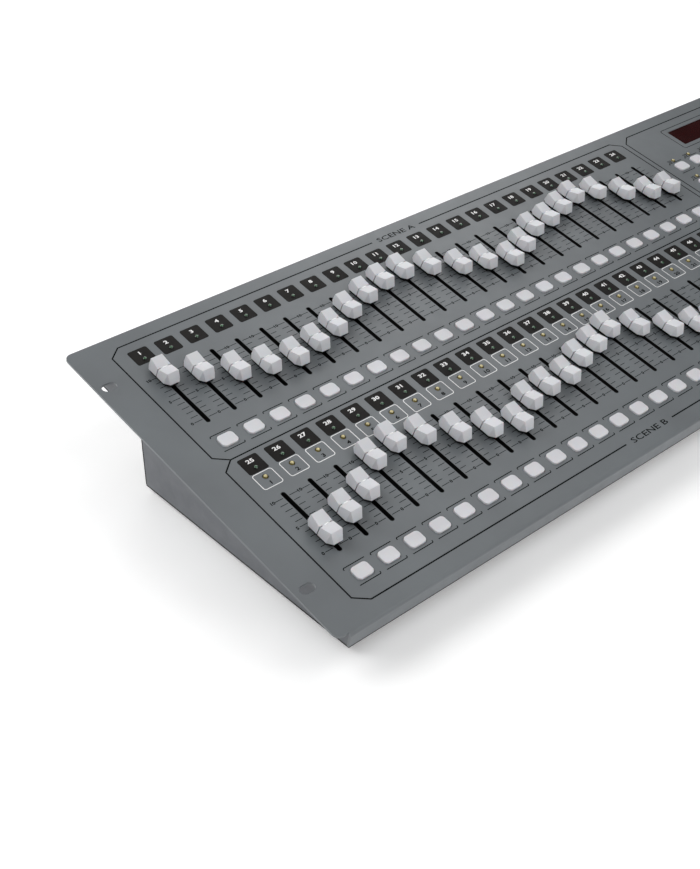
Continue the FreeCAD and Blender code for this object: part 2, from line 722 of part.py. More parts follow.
def midi_sockets():
    face = Y_SHIFT + REAR_WALL_DEPTH
    z = FLOOR + SOCKET_HEIGHT
    radius, thick = MIDI_BEZEL
    core, groove, deep = MIDI_GROOVE
    front = face + thick
    sockets = []
    for x in MIDI_PLACES:
        barrel = rod_y(MIDI_BARREL - CLEARANCE, face - BARREL_DEPTHS["midi"], face, x, z)
        body = rod_y(radius, face, front, x, z).fuse(barrel)
        cutters = [ring_groove(core, groove, front, deep, x, z)]
        cutters += contact_holes(x, z, front, 5, *MIDI_CONTACTS)
        sockets.append(body.cut(cutters))
    return Part.makeCompound(sockets)


def signal_jacks():
    """Two audio pin jacks and the footswitch jack for remote control."""
    face = Y_SHIFT + REAR_WALL_DEPTH
    z = FLOOR + SOCKET_HEIGHT
    jacks = []
    for x in AUDIO_PLACES:
        collar, collar_thick = AUDIO_COLLAR
        body = rod_y(AUDIO_BARREL, face - BARREL_DEPTHS["audio"], face + AUDIO_STANDS, x, z)
        body = body.fuse(rod_y(collar, face, face + collar_thick, x, z))
        jacks.append(body.cut(rod_y(AUDIO_BORE, face - 2, face + AUDIO_STANDS + 1, x, z)))
    radius, thick = REMOTE_NUT
    bore, deep = REMOTE_BORE
    front = face + thick
    body = rod_y(radius, face, front, REMOTE_PLACE, z)
    body = body.fuse(rod_y(REMOTE_BARREL - 0.1, face - CASE_SHEET, face, REMOTE_PLACE, z))
    inside = face - CASE_SHEET
    width, height, length = REMOTE_BODY
    body = body.fuse(block(REMOTE_PLACE - width / 2, REMOTE_PLACE + width / 2,
                           inside - length, inside, z - height / 2, z + height / 2))
    jacks.append(body.cut(rod_y(bore, front - deep, front + 1, REMOTE_PLACE, z)))
    return Part.makeCompound(jacks)


def power_inlet():
    face = Y_SHIFT + REAR_WALL_DEPTH
    x, z = POWER_INLET_PLACE, FLOOR + SOCKET_HEIGHT
    collar, thick = INLET_COLLAR
    front = face + thick
    body = rod_y(INLET_BARREL - 0.1, face - BARREL_DEPTHS["inlet"], face, x, z)
    body = body.fuse(rod_y(collar, face, front, x, z))
    bore, deep = INLET_BORE
    well = rod_y(bore, front - deep, front + 1, x, z)
    pin = rod_y(INLET_PIN, front - deep - 1, front - INLET_PIN_RECESS, x, z)
    return body.cut(well.cut(pin))


def power_switch_housing():
    face = Y_SHIFT + REAR_WALL_DEPTH
    x, z = POWER_SWITCH_PLACE, FLOOR + SOCKET_HEIGHT
    half_x, half_z = SWITCH_BODY[0] / 2 - CLEARANCE, SWITCH_BODY[1] / 2 - CLEARANCE
    body = block(x - half_x, x + half_x, face - BARREL_DEPTHS["switch"], face, z - half_z, z + half_z)
    bezel_x, bezel_z, thick = SWITCH_BEZEL
    front = face + thick
    body = body.fuse(block(x - bezel_x / 2, x + bezel_x / 2, face, front, z - bezel_z / 2, z + bezel_z / 2))
    gap_x, gap_z, deep = SWITCH_WELL
    half_x, half_z = ROCKER[0] / 2 + gap_x, ROCKER[1] / 2 + gap_z
    well = block(x - half_x, x + half_x, face - deep, front + 1, z - half_z, z + half_z)
    return body.removeSplitter().cut(well)


def power_rocker():
    """Rocker on a cross pivot, standing tilted in its off position."""
    face = Y_SHIFT + REAR_WALL_DEPTH
    x, z = POWER_SWITCH_PLACE, FLOOR + SOCKET_HEIGHT
    width, height, stands = ROCKER
    half = height / 2
    points = [(face - ROCKER_FOOT, z - half + 1), (face - ROCKER_FOOT, z + half - 1),
              (face + stands, z + half), (face + stands - ROCKER_DIP, z), (face + stands, z - half)]
    rocker = profile_bar(points, x - width / 2, x + width / 2)
    rocker.rotate(Vector(x, face, z), Vector(1, 0, 0), -ROCKER_TILT)
    return rocker


# ---- screws ----

def screw():
    """Pan-head screw along +Z with its shank upwards and its head's top face at zero."""
    radius, thick = SCREW_HEAD
    head = cylinder(radius, -thick, 0)
    return head.fuse(cylinder(SCREW_RADIUS, 0, SCREW_LENGTH)).removeSplitter()


def machine_screws():
    one = screw()
    screws = []
    for _, x0, x1, s0, s1 in board_outlines():
        for x, s in post_places(x0, x1, s0, s1):
            screws.append(tilted(moved(one, x, s, BOARD_TOP - BOARD_SHEET)))
    for x, y in floor_screw_places() + processor_post_places():
        screws.append(moved(one, x, y, FLOOR))
    for x, y in foot_places():
        screws.append(moved(one, x, y, FOOT_HEIGHT - 1.2))
    for x, dx, dz in dmx_screw_offsets():
        rear = one.copy()
        rear.rotate(Vector(0, 0, 0), Vector(1, 0, 0), 90)
        face = Y_SHIFT + REAR_WALL_DEPTH + DMX_FLANGE[2]
        screws.append(moved(rear, x + dx, face, FLOOR + SOCKET_HEIGHT + dz))
    return Part.makeCompound(screws)


# ---- assembly ----

def fader_nodes():
    nodes = {}
    for row, groups in FADER_GROUPS.items():
        for channels, level in groups:
            s = level_s(ROWS[row]["slot"], level)
            nodes[fader_group_name(row, channels)] = sliders_at([(channel_x(n), s) for n in channels])
    for name, column, level in MASTER_FADERS:
        nodes[name] = sliders_at([(MASTER_XS[column], level_s(ROWS["b"]["slot"], level))])
    return nodes


def build_nodes():
    nodes = {
        "control_panel": control_panel(),
        "left_side_wall": side_wall(-1),
        "right_side_wall": side_wall(1),
        "front_wall": front_wall(),
        "floor_tray": floor_tray(),
        "rear_wall": rear_wall(),
        "overhang_cover": overhang_cover(),
        "rubber_feet": rubber_feet(),
        "board_posts": board_posts(),
        "processor_board": processor_board(),
        "ribbon_cables": ribbon_cables(),
        "tact_switches": tact_switches(),
        "green_leds": leds(green_led_places()),
        "amber_leds": leds(amber_led_places()),
        "display_module": display_module(),
        "display_window": display_window(),
        "fader_housings": fader_housings(),
        "program_buttons": buttons_at(program_places()),
        "playback_buttons": buttons_at(playback_places()),
        "dmx_sockets": dmx_sockets(),
        "midi_sockets": midi_sockets(),
        "signal_jacks": signal_jacks(),
        "power_inlet": power_inlet(),
        "power_switch_housing": power_switch_housing(),
        "power_rocker": power_rocker(),
        "machine_screws": machine_screws(),
    }
    for name, x0, x1, s0, s1 in board_outlines():
        nodes[name] = board(x0, x1, s0, s1)
    nodes.update(button_banks())
    nodes.update(fader_nodes())
    return nodes


def main():
    os.makedirs("parts", exist_ok=True)
    for name, shape in build_nodes().items():
        if not shape.isValid():
            raise ValueError(name + " is not a valid shape")
        shape.exportStep("parts/" + name + ".step")


if __name__ == "__main__":
    main()
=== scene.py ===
"""Looks of the two-preset lighting control desk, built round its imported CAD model.

The row frame is in metres, with +X to the operator's right, +Y away from the operator and +Z up.
Details are laid out in millimetres in the panel frame (x, s, z): s runs up the slope from the
front edge and z points out of the panel.
"""
import json
import math

import bmesh
import bpy
from mathutils import Matrix, Vector


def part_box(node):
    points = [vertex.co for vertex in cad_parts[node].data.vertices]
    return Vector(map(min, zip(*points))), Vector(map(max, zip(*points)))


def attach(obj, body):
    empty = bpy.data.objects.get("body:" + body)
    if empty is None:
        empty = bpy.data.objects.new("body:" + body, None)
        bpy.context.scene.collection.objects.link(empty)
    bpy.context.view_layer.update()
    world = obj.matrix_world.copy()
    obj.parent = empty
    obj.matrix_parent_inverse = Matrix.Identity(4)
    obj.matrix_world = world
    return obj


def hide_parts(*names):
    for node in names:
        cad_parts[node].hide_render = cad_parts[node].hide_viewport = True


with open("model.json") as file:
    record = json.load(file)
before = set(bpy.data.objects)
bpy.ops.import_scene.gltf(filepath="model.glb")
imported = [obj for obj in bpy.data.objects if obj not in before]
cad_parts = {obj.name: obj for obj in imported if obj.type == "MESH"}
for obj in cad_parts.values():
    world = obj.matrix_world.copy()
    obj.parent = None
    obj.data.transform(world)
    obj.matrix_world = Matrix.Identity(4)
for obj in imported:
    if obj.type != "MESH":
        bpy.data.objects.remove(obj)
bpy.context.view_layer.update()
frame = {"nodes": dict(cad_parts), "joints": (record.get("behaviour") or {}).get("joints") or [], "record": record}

MM = 0.001

# Camera: aim in the panel frame, distance in metres and angles in degrees
CAMERA_AIM = (-248.4, 115.3, 0.0)
CAMERA_DISTANCE = 0.8185
CAMERA_AZIMUTH = -41.4
CAMERA_ELEVATION = 35.4
CAMERA_LENS = 55.82

# Light: azimuth, elevation, distance and side of each soft box in degrees and metres, then its power
SOFT_BOXES = {
    "key": (45.0, 45.0, 1.5, 1.0, 14.6),
    "left": (90.0, 45.0, 1.5, 1.0, 2.2),
    "right_fill": (-135.0, 45.0, 1.5, 1.0, 5.8),
    "sheen": (-38.0, 18.0, 1.9, 1.6, 16.5),
    "gleam": (-62.0, 48.0, 1.5, 0.7, 2.4),
    "high_front": (-165.0, 60.0, 1.5, 1.0, 3.0),
    "low_front": (180.0, 15.0, 1.5, 1.0, 8.5),
}
ROOM_STRENGTH = 0.05
BACKDROP_STRENGTH = 1.0

# Floor: its side and where its fade starts and ends, in metres, and the strength of its own light
FLOOR_SIDE = 4.0
FLOOR_FADE = (0.9, 1.5)
FLOOR_GLOW = 0.22

# Finishes: sizes of the patches of tone and gloss, size and depth of the grain, the part of the noise
# that is spread over a finish, and the painted highlight on sideways faces: its tone, share and least sideways
# turn
TONE_PATCH = 38.0
GLOSS_PATCH = 9.0
GRAIN = (0.5, 0.012)
NOISE_SPAN = (0.3, 0.7)
# Painted highlight: faces of the panel that turn sideways are lightened towards this tone
EDGE_HIGHLIGHT_TONE = (168, 171, 173)
EDGE_HIGHLIGHT_SHARE = 0.2
EDGE_HIGHLIGHT_START = 0.8

# Way of a fader from the foot to the head of its slot
TRAVEL = 45.0

# Fader caps: half width, half length and height of the top and of the base, and half sizes of the
# flats of the base. A groove has a width and a depth, the mark a length, a width and a rise, and its
# edge an inset that starts at a share of the rise. The black skirt, painted shade under the cap, has an
# inset and a foot. The root and the seats are how far the mark, the skirt and the lever go into the cap.
CAP_TOP = (4.2, 8.8, 11.0)
CAP_BASE = (6.2, 11.6, 3.6)
CAP_CORNER = (3.4, 7.8)
CAP_SADDLE = 8.7
CAP_ROUNDING = 0.3
CAP_GROOVE = (0.8, 2.1)
CAP_MARK = (3.2, 0.75, 0.25)
CAP_MARK_ROOT = 0.5
CAP_MARK_EDGE = (0.12, 0.6)
CAP_SHADE_SKIRT = (0.8, 1.6)
SHADE_SKIRT_SEAT = 0.2
LEVER_SEAT = 0.5

# Levers: width and length, then width, length, foot and top of the carriage
LEVER = (1.6, 5.0)
LEVER_CARRIAGE = (6.0, 7.0, -7.5, -4.5)

# Slot liners, black sheets that paint the shade inside the slots: width, length, wall, foot and top
SLOT_SHADE_LINER = (3.16, 53.16, 0.25, -2.0, 0.02)

# Buttons: width, length and corner, then the skirt's reach and height, and the rings of the dish as
# insets with shares of its depth
BUTTON = (11.9, 9.5, 2.7)
BUTTON_TOP = 1.1
BUTTON_FOOT = -3.5
BUTTON_SKIRT = (1.0, 1.3)
BUTTON_EDGE = 0.4
BUTTON_EDGE_STEPS = 4
BUTTON_DISH = 0.15
BUTTON_DISH_RINGS = ((1.3, 0.35), (2.1, 0.8))

# Lamps: radius, foot and top of the holder, then rings of the tinted side and of the crown, which
# carries a painted highlight, as shares of the radius with their heights
LED_RADIUS = 1.5
LED_RIM = (1.9, -2.4, -0.45)
LED_SIDE = ((1.0, LED_RIM[2]), (1.0, 0.1), (0.94, 0.42), (0.72, 0.72))
LED_HIGHLIGHT_CROWN = ((0.5, 0.85), (0.25, 0.9))

# Shapes: how far a cutter runs past a face, and what keeps a half round end from closing to a point
OVERCUT = 1.0
ROUND_END = 0.01

# Gaps that part the items of a node, and the two rows of fader housings
ITEM_GAP = 5.0
ROW_GAP = 57.0

# Screws: head radius and height, shank radius and length, cross recess, thread pitch and depth, the
# head's rings as shares of its radius and height, and a length that no two points of a screw exceed
SCREW_HEAD = (2.75, 1.8)
SCREW_SHANK = (1.5, 6.0)
SCREW_RECESS = (3.2, 0.75, 1.0)
SCREW_THREAD = (0.5, 0.15)
SCREW_RINGS = ((0.55, -1.0), (0.8, -0.93), (0.94, -0.72), (1.0, -0.4), (1.0, 0.0))
SCREW_REACH = 9.5

# Display: height, width and stroke of a digit, then the spacing and the number of digits
DISPLAY_DIGIT = (11.0, 6.0, 1.2)
DISPLAY_SPACING = 10.6
DISPLAY_COUNT = 4

# Print: heights of the ink layers over what they are printed on, line widths, the least share of a
# line's width that a mitre divides by, and the font's size for a height of the letters
INK = (0.0, 0.03)
INK_ON_INK = (0.03, 0.06)
BORDER_LINE = 0.95
TICK_LINE = 0.42
BRACKET_LINE = 0.6
WHITE_LINE = 0.5
MITRE_LEAST = 0.3
FONT_SIZE = 1.4

# Print: height, stretch and weight of each kind of text
TITLE_TEXT = (4.4, 1.5, 0.05)
NUMBER_TEXT = (2.9, 1.35, 0.12)
MASTER_TEXT = (4.06, 1.35, 0.12)
MEMORY_TEXT = (2.8, 1.35, 0.12)
SCALE_TEXT = (2.2, 1.15, 0.11)
FUNCTION_TEXT = (2.6, 1.2, 0.1)
REAR_TEXT = (3.4, 1.35, 0.1)

# Print: borders, as insets from the panel's edges, with the line between the rows and the titles
BORDER_SIDE = 24.4
BORDER_REAR = 10.6
BORDER_FRONT = 12.2
BORDER_CHAMFER = 8.5
CHAMFER_DEPTH = 6.8
DIVIDER = 138.0
TITLE_CHANNEL = 12.5
TITLE_GAP = 46.0
SECTION_GAP = 5.4

# Print: label boxes and scales, as offsets from the lamp, slot or button that they go with
LABEL_BOX = (14.4, 14.0, 1.5)
LABEL_RISE = 3.0
NUMBER_RISE = 3.0
MEMORY_BOX = (14.0, 12.8, 1.6)
MEMORY_DROP = 2.2
MEMORY_NUMBER_DROP = 5.4
SCALE_STEPS = 10
SCALE_LONG = 5
SCALE_NEAR = 2.4
SCALE_MINOR = (5.4, 4.6)
SCALE_DIGIT = 9.8
SCALE_DIGIT_GAP = 1.5

# Print: lines at the ends of a button, by width, length, hook, corner and how much the straight end
# falls short
BRACKET = (16.2, 14.4, 0.9, 0.6, 0.4)

# Print: master section, where a wedge has a width and a height and a chevron a depth, a rise and a
# stroke, and the display's frame a width, a length and a corner; then the rear wall
MASTER_MARKS = {"master_fader_a": "A", "master_fader_b": "B"}
WEDGE = (7.0, 3.2)
CHEVRON = (2.2, 1.6, 0.7)
FUNCTION_SHIFT = -4.6
DISPLAY_FRAME = (70.0, 28.0, 2.5)
REAR_ITEMS = ("power_switch_housing", "power_inlet", "dmx_sockets", "midi_sockets", "signal_jacks")
REAR_FRAME_MARGIN = 3.0
REAR_FRAME_CORNER = 2.0


def panel_frame():
    """Matrix from panel millimetres to the row frame."""
    slide = next(joint for joint in frame["joints"] if joint["child"] == "master_fader_a")
    across = Vector((1, 0, 0))
    up_slope = Vector(slide["axis"]).normalized()
    out = across.cross(up_slope)
    points = [vertex.co for vertex in frame["nodes"]["control_panel"].data.vertices]
    front = min(up_slope.dot(point) for point in points)
    face = max(out.dot(point) for point in points)
    turned = Matrix((across, up_slope, out)).transposed().to_4x4()
    turned.translation = up_slope * front + out * face
    return turned @ Matrix.Scale(MM, 4)


PANEL = panel_frame()
TO_PANEL = PANEL.inverted()


def panel_points(node):
    return [TO_PANEL @ vertex.co for vertex in frame["nodes"][node].data.vertices]


def spans(values, gap):
    """Lowest and highest value of each group of values that lie closer together than the gap."""
    groups = []
    for value in sorted(values):
        if groups and value - groups[-1][1] < gap:
            groups[-1][1] = value
        else:
            groups.append([value, value])
    return groups


def places(node):
    """Centres (x, s) of the items in a node, row by row from the front."""
    points = panel_points(node)
    found = []
    for s0, s1 in spans((point.y for point in points), ITEM_GAP):
        row = [point.x for point in points if s0 <= point.y <= s1]
        found += [((x0 + x1) / 2, (s0 + s1) / 2) for x0, x1 in spans(row, ITEM_GAP)]
    return found


def extent(points, axis):
    """Lowest and highest coordinate of the points along an axis."""
    values = [point[axis] for point in points]
    return min(values), max(values)


def channel_rows():
    """Places of the channel lamps, in the front and in the rear row."""
    greens = places("green_leds")
    return greens[:len(greens) // 2], greens[len(greens) // 2:]


def direction(azimuth, elevation):
    """Unit vector at angles in degrees, from +Y towards -X and upwards."""
    turn, rise = math.radians(azimuth), math.radians(elevation)
    return Vector((-math.sin(turn) * math.cos(rise), math.cos(turn) * math.cos(rise), math.sin(rise)))


def camera():
    forward = direction(CAMERA_AZIMUTH, -CAMERA_ELEVATION)
    data = bpy.data.cameras.new("camera")
    data.lens = CAMERA_LENS
    item = bpy.data.objects.new("camera", data)
    item.location = PANEL @ Vector(CAMERA_AIM) - forward * CAMERA_DISTANCE
    item.rotation_euler = forward.to_track_quat("-Z", "Y").to_euler()
    bpy.context.scene.collection.objects.link(item)
    bpy.context.scene.camera = item


# ---- materials ----

def linear(grey_or_rgb):
    """Linear colour from a grey or a red, green, blue triple of 0 to 255 display values."""
    triple = grey_or_rgb if isinstance(grey_or_rgb, tuple) else (grey_or_rgb,) * 3
    values = [value / 255 for value in triple]
    return [v / 12.92 if v <= 0.04045 else ((v + 0.055) / 1.055) ** 2.4 for v in values] + [1.0]


class Finish:
    """A node material on object coordinates, which stay with a piece when it moves."""

    def __init__(self, name, **constants):
        self.material = bpy.data.materials.new(name)
        self.material.use_nodes = True
        self.tree = self.material.node_tree
        self.shader = self.tree.nodes["Principled BSDF"]
        self.place = self.add("ShaderNodeTexCoord").outputs["Object"]
        for socket, value in constants.items():
            self.shader.inputs[socket.replace("_", " ")].default_value = value

    def add(self, kind, **settings):
        node = self.tree.nodes.new(kind)
        for name, value in settings.items():
            setattr(node, name, value)
        return node

    def join(self, output, node, socket):
        self.tree.links.new(output, node.inputs[socket])

    def noise(self, size_mm, detail=2.0, stretch=(1, 1, 1)):
        """Noise from 0 to 1 with features of a size, drawn out along an axis by a stretch over 1."""
        scale = self.add("ShaderNodeMapping")
        scale.inputs["Scale"].default_value = [1 / (size_mm * MM * axis) for axis in stretch]
        self.join(self.place, scale, "Vector")
        node = self.add("ShaderNodeTexNoise")
        node.inputs["Scale"].default_value = 1.0
        node.inputs["Detail"].default_value = detail
        self.join(scale.outputs["Vector"], node, "Vector")
        return node.outputs["Fac"]

    def tones(self, factor, dark, light, span=NOISE_SPAN):
        ramp = self.add("ShaderNodeValToRGB")
        first, last = ramp.color_ramp.elements
        first.position, first.color = span[0], linear(dark)
        last.position, last.color = span[1], linear(light)
        self.join(factor, ramp, "Fac")
        self.join(ramp.outputs["Color"], self.shader, "Base Color")

    def rough(self, factor, low, high):
        spread = self.add("ShaderNodeMapRange")
        spread.inputs["From Min"].default_value, spread.inputs["From Max"].default_value = NOISE_SPAN
        spread.inputs["To Min"].default_value = low
        spread.inputs["To Max"].default_value = high
        self.join(factor, spread, "Value")
        self.join(spread.outputs["Result"], self.shader, "Roughness")

    def bump(self, factor, depth_mm):
        node = self.add("ShaderNodeBump")
        node.inputs["Distance"].default_value = depth_mm * MM
        node.inputs["Strength"].default_value = 1.0
        self.join(factor, node, "Height")
        self.join(node.outputs["Normal"], self.shader, "Normal")

    def patches(self, dark, light, rough):
        """Faint patches of tone and of gloss."""
        self.tones(self.noise(TONE_PATCH, 4.0), dark, light)
        self.rough(self.noise(GLOSS_PATCH), *rough)

    def grain(self, size_mm, depth_mm):
        self.bump(self.noise(size_mm, 3.0), depth_mm)


def coated(name, dark, light, grain_mm=GRAIN[0], depth_mm=GRAIN[1], rough=(0.42, 0.56), **constants):
    """Paint or moulded plastic with uneven tone and gloss and a fine grain."""
    finish = Finish(name, **constants)
    finish.patches(dark, light, rough)
    finish.grain(grain_mm, depth_mm)
    return finish.material


def brushed(name, dark, light, along=(1, 1, 1), rough=(0.25, 0.42)):
    """Bare or plated metal with fine streaks along one axis."""
    finish = Finish(name, Metallic=1.0)
    streaks = finish.noise(0.25, 3.0, along)
    finish.tones(streaks, dark, light)
    finish.rough(finish.noise(3.0), *rough)
    finish.bump(streaks, 0.002)
    return finish.material


def circuit_board():
    """Green solder mask with lighter copper runs under it."""
    finish = Finish("circuit_board", Coat_Weight=0.3, Coat_Roughness=0.2)
    runs = finish.add("ShaderNodeTexBrick")
    runs.inputs["Scale"].default_value = 260.0
    runs.inputs["Mortar Size"].default_value = 0.03
    runs.inputs["Color1"].default_value = linear((20, 74, 42))
    runs.inputs["Color2"].default_value = linear((24, 84, 48))
    runs.inputs["Mortar"].default_value = linear((62, 122, 70))
    finish.join(finish.place, runs, "Vector")
    finish.join(runs.outputs["Color"], finish.shader, "Base Color")
    finish.rough(finish.noise(6.0), 0.3, 0.45)
    finish.bump(runs.outputs["Fac"], 0.02)
    return finish.material


def ribbon():
    """Grey flat cable with its cores as fine ridges along its length."""
    finish = Finish("ribbon")
    cores = finish.add("ShaderNodeTexWave", wave_type="BANDS", bands_direction="X")
    cores.inputs["Scale"].default_value = 250.0
    finish.join(finish.place, cores, "Vector")
    finish.tones(cores.outputs["Fac"], 120, 168, (0.1, 0.9))
    finish.rough(finish.noise(4.0), 0.4, 0.5)
    finish.bump(cores.outputs["Fac"], 0.15)
    return finish.material


def lens(name, dark, light, glow, strength):
    """Tinted lamp moulding with a clear coat."""
    finish = Finish(name, Coat_Weight=0.7, Coat_Roughness=0.06, Emission_Strength=strength,
                    Emission_Color=linear(glow))
    finish.tones(finish.noise(0.8), dark, light)
    finish.rough(finish.noise(1.2), 0.16, 0.26)
    return finish.material


def tinted_window():
    """Dark red sheet that the display shows through."""
    finish = Finish("red_window", Transmission_Weight=0.85, IOR=1.45, Coat_Weight=0.3,
                    Coat_Roughness=0.1)
    finish.tones(finish.noise(20.0), (92, 12, 14), (104, 16, 18))
    finish.rough(finish.noise(12.0), 0.08, 0.16)
    return finish.material


def panel_paint():
    """Grey coat of the panel, with a painted highlight that lightens the sheet's left and right edges."""
    finish = Finish("panel_paint")
    finish.patches((95, 99, 102), (101, 106, 109), (0.34, 0.44))
    finish.grain(*GRAIN)
    coat = finish.shader.inputs["Base Color"].links[0].from_socket
    normal = finish.add("ShaderNodeSeparateXYZ")
    finish.join(finish.add("ShaderNodeTexCoord").outputs["Normal"], normal, "Vector")
    sideways = finish.add("ShaderNodeMath", operation="ABSOLUTE")
    finish.join(normal.outputs["X"], sideways, "Value")
    # Painted highlight: faces that turn sideways are mixed towards a lighter tone
    lit_edge = finish.add("ShaderNodeMapRange")
    lit_edge.inputs["From Min"].default_value = EDGE_HIGHLIGHT_START
    lit_edge.inputs["To Max"].default_value = EDGE_HIGHLIGHT_SHARE
    finish.join(sideways.outputs["Value"], lit_edge, "Value")
    mix = finish.add("ShaderNodeMixRGB")
    mix.inputs["Color2"].default_value = linear(EDGE_HIGHLIGHT_TONE)
    finish.join(lit_edge.outputs["Result"], mix, "Fac")
    finish.join(coat, mix, "Color1")
    finish.join(mix.outputs["Color"], finish.shader, "Base Color")
    return finish.material


def floor_finish():
    """Pale floor that fades out away from the desk, so that no far edge of it shows."""
    finish = Finish("floor", Emission_Color=linear(255), Emission_Strength=FLOOR_GLOW)
    finish.patches(243, 247, (0.8, 0.9))
    reach = finish.add("ShaderNodeVectorMath", operation="LENGTH")
    finish.join(finish.place, reach, "Vector")
    fade = finish.add("ShaderNodeMapRange")
    fade.inputs["From Min"].default_value, fade.inputs["From Max"].default_value = FLOOR_FADE
    fade.inputs["To Min"].default_value = 1.0
    fade.inputs["To Max"].default_value = 0.0
    finish.join(reach.outputs["Value"], fade, "Value")
    finish.join(fade.outputs["Result"], finish.shader, "Alpha")
    return finish.material


def make_materials():
    return {
        "panel_paint": panel_paint(),
        "case_paint": coated("case_paint", (99, 102, 107), (106, 109, 114)),
        "black_steel": coated("black_steel", 9, 14, 0.6, 0.02, (0.5, 0.65), Specular_IOR_Level=0.3),
        "rubber": coated("rubber", 22, 34, 0.9, 0.05, (0.7, 0.85)),
        "plated_steel": brushed("plated_steel", 130, 175, (1, 8, 1)),
        "socket_metal": brushed("socket_metal", 150, 200, (1, 6, 1), (0.18, 0.3)),
        "circuit_board": circuit_board(),
        "ribbon": ribbon(),
        "black_plastic": coated("black_plastic", 22, 30, 0.35, 0.01, (0.35, 0.5)),
        "green_lens": lens("green_lens", (5, 22, 11), (9, 32, 16), (10, 50, 24), 0.03),
        # Painted highlight: the lamps' crowns are lighter than their sides, as the tops of the domes catch the
        # light
        "green_highlight": lens("green_highlight", (18, 52, 28), (36, 86, 48), (50, 130, 74), 0.05),
        "amber_lens": lens("amber_lens", (92, 84, 40), (112, 102, 52), (160, 130, 60), 0.05),
        "amber_highlight": lens("amber_highlight", (164, 154, 106), (190, 178, 126), (255, 232, 176), 0.05),
        "red_window": tinted_window(),
        "cap_plastic": coated("cap_plastic", (196, 197, 201), (205, 206, 210), 0.3, 0.012,
                              (0.34, 0.46), Subsurface_Weight=0.12, Subsurface_Scale=0.002),
        "button_plastic": coated("button_plastic", (196, 196, 200), (206, 206, 210), 0.3, 0.01,
                                 (0.36, 0.48), Subsurface_Weight=0.12, Subsurface_Scale=0.002),
        "mark_white": coated("mark_white", 236, 246, 0.4, 0.004, (0.2, 0.3)),
        # Black of the levers, and painted shade on the cap skirts and the slot liners
        "lever_and_shade_black": coated("lever_and_shade_black", 8, 14, 0.4, 0.01, (0.5, 0.65), Specular_IOR_Level=0.2),
        "lamp_rim": coated("lamp_rim", (38, 35, 22), (54, 50, 32), 0.5, 0.01, (0.3, 0.45)),
        "display_red": lens("display_red", (58, 10, 10), (76, 14, 13), (120, 12, 10), 0.08),
        "ink_black": coated("ink_black", 3, 7, 0.4, 0.004, (0.6, 0.72), Specular_IOR_Level=0.1),
        "ink_box": coated("ink_box", (20, 18, 17), (26, 24, 23), 0.4, 0.004, (0.5, 0.62),
                          Specular_IOR_Level=0.12),
        "ink_white": coated("ink_white", 222, 234, 0.4, 0.004, (0.5, 0.62)),
        "floor": floor_finish(),
    }


# ---- mesh helpers ----

def new_object(name, mesh, *materials):
    item = bpy.data.objects.new(name, mesh)
    for material in materials:
        item.data.materials.append(material)
    bpy.context.scene.collection.objects.link(item)
    return item


def rounded(width, length, radius, x=0.0, s=0.0, steps=5):
    """Counter-clockwise outline of a rectangle with round corners."""
    outline = []
    for quarter in range(4):
        side_x = 1 if quarter in (0, 3) else -1
        side_s = 1 if quarter in (0, 1) else -1
        for step in range(steps + 1):
            angle = math.radians(90 * quarter + 90 * step / steps)
            outline.append((x + side_x * (width / 2 - radius) + radius * math.cos(angle),
                            s + side_s * (length / 2 - radius) + radius * math.sin(angle)))
    return outline


def ring_verts(bm, outline, z):
    return [bm.verts.new((x, s, z)) for x, s in outline]


def skin(bm, rings, material=0, cap_low=True, cap_high=True):
    """Walls between rings of equal length, with a face over the first and the last ring if asked."""
    count = len(rings[0])
    faces = []
    for low, high in zip(rings, rings[1:]):
        for i in range(count):
            j = (i + 1) % count
            faces.append(bm.faces.new((low[i], low[j], high[j], high[i])))
    if cap_low:
        faces.append(bm.faces.new(rings[0][::-1]))
    if cap_high:
        faces.append(bm.faces.new(rings[-1]))
    for face in faces:
        face.material_index = material


def prism(bm, outline, z0, z1, material=0):
    skin(bm, [ring_verts(bm, outline, z0), ring_verts(bm, outline, z1)], material)


def box_outline(width, length):
    x, s = width / 2, length / 2
    return [(x, s), (-x, s), (-x, -s), (x, -s)]


def evaluated_mesh(item):
    """Mesh of an object with its modifiers or its text worked out."""
    bpy.context.view_layer.update()
    return bpy.data.meshes.new_from_object(item.evaluated_get(bpy.context.evaluated_depsgraph_get()))


def mesh_of(bm, name, smooth_angle=None):
    """Mesh with round shading over the edges that turn by less than an angle, and sharp other edges."""
    if smooth_angle is not None:
        limit = math.radians(smooth_angle)
        for face in bm.faces:
            face.smooth = True
        for edge in bm.edges:
            if len(edge.link_faces) != 2 or edge.calc_face_angle() > limit:
                edge.smooth = False
    mesh = bpy.data.meshes.new(name)
    bm.to_mesh(mesh)
    bm.free()
    return mesh


def copies(name, prototype, matrices, *materials):
    """One object with a copy of the prototype mesh at each matrix."""
    bm = bmesh.new()
    for matrix in matrices:
        start = len(bm.verts)
        bm.from_mesh(prototype)
        bm.verts.ensure_lookup_table()
        bmesh.ops.transform(bm, matrix=matrix, verts=bm.verts[start:])
    mesh = bpy.data.meshes.new(name)
    bm.to_mesh(mesh)
    bm.free()
    return new_object(name, mesh, *materials)


def on_panel(x, s, z=0.0):
    return PANEL @ Matrix.Translation((x, s, z))


def carved(solid, cutters, name):
    """Mesh of a solid with the cutters taken out of it."""
    base = new_object(name, solid)
    tools = []
    for cutter in cutters:
        tool = new_object(name + "_cutter", cutter)
        cut = base.modifiers.new("cut", "BOOLEAN")
        cut.operation = "DIFFERENCE"
        cut.solver = "EXACT"
        cut.object = tool
        tools.append(tool)
    shape = evaluated_mesh(base)
    for item in [base] + tools:
        bpy.data.objects.remove(item)
    return shape


# ---- fader caps ----

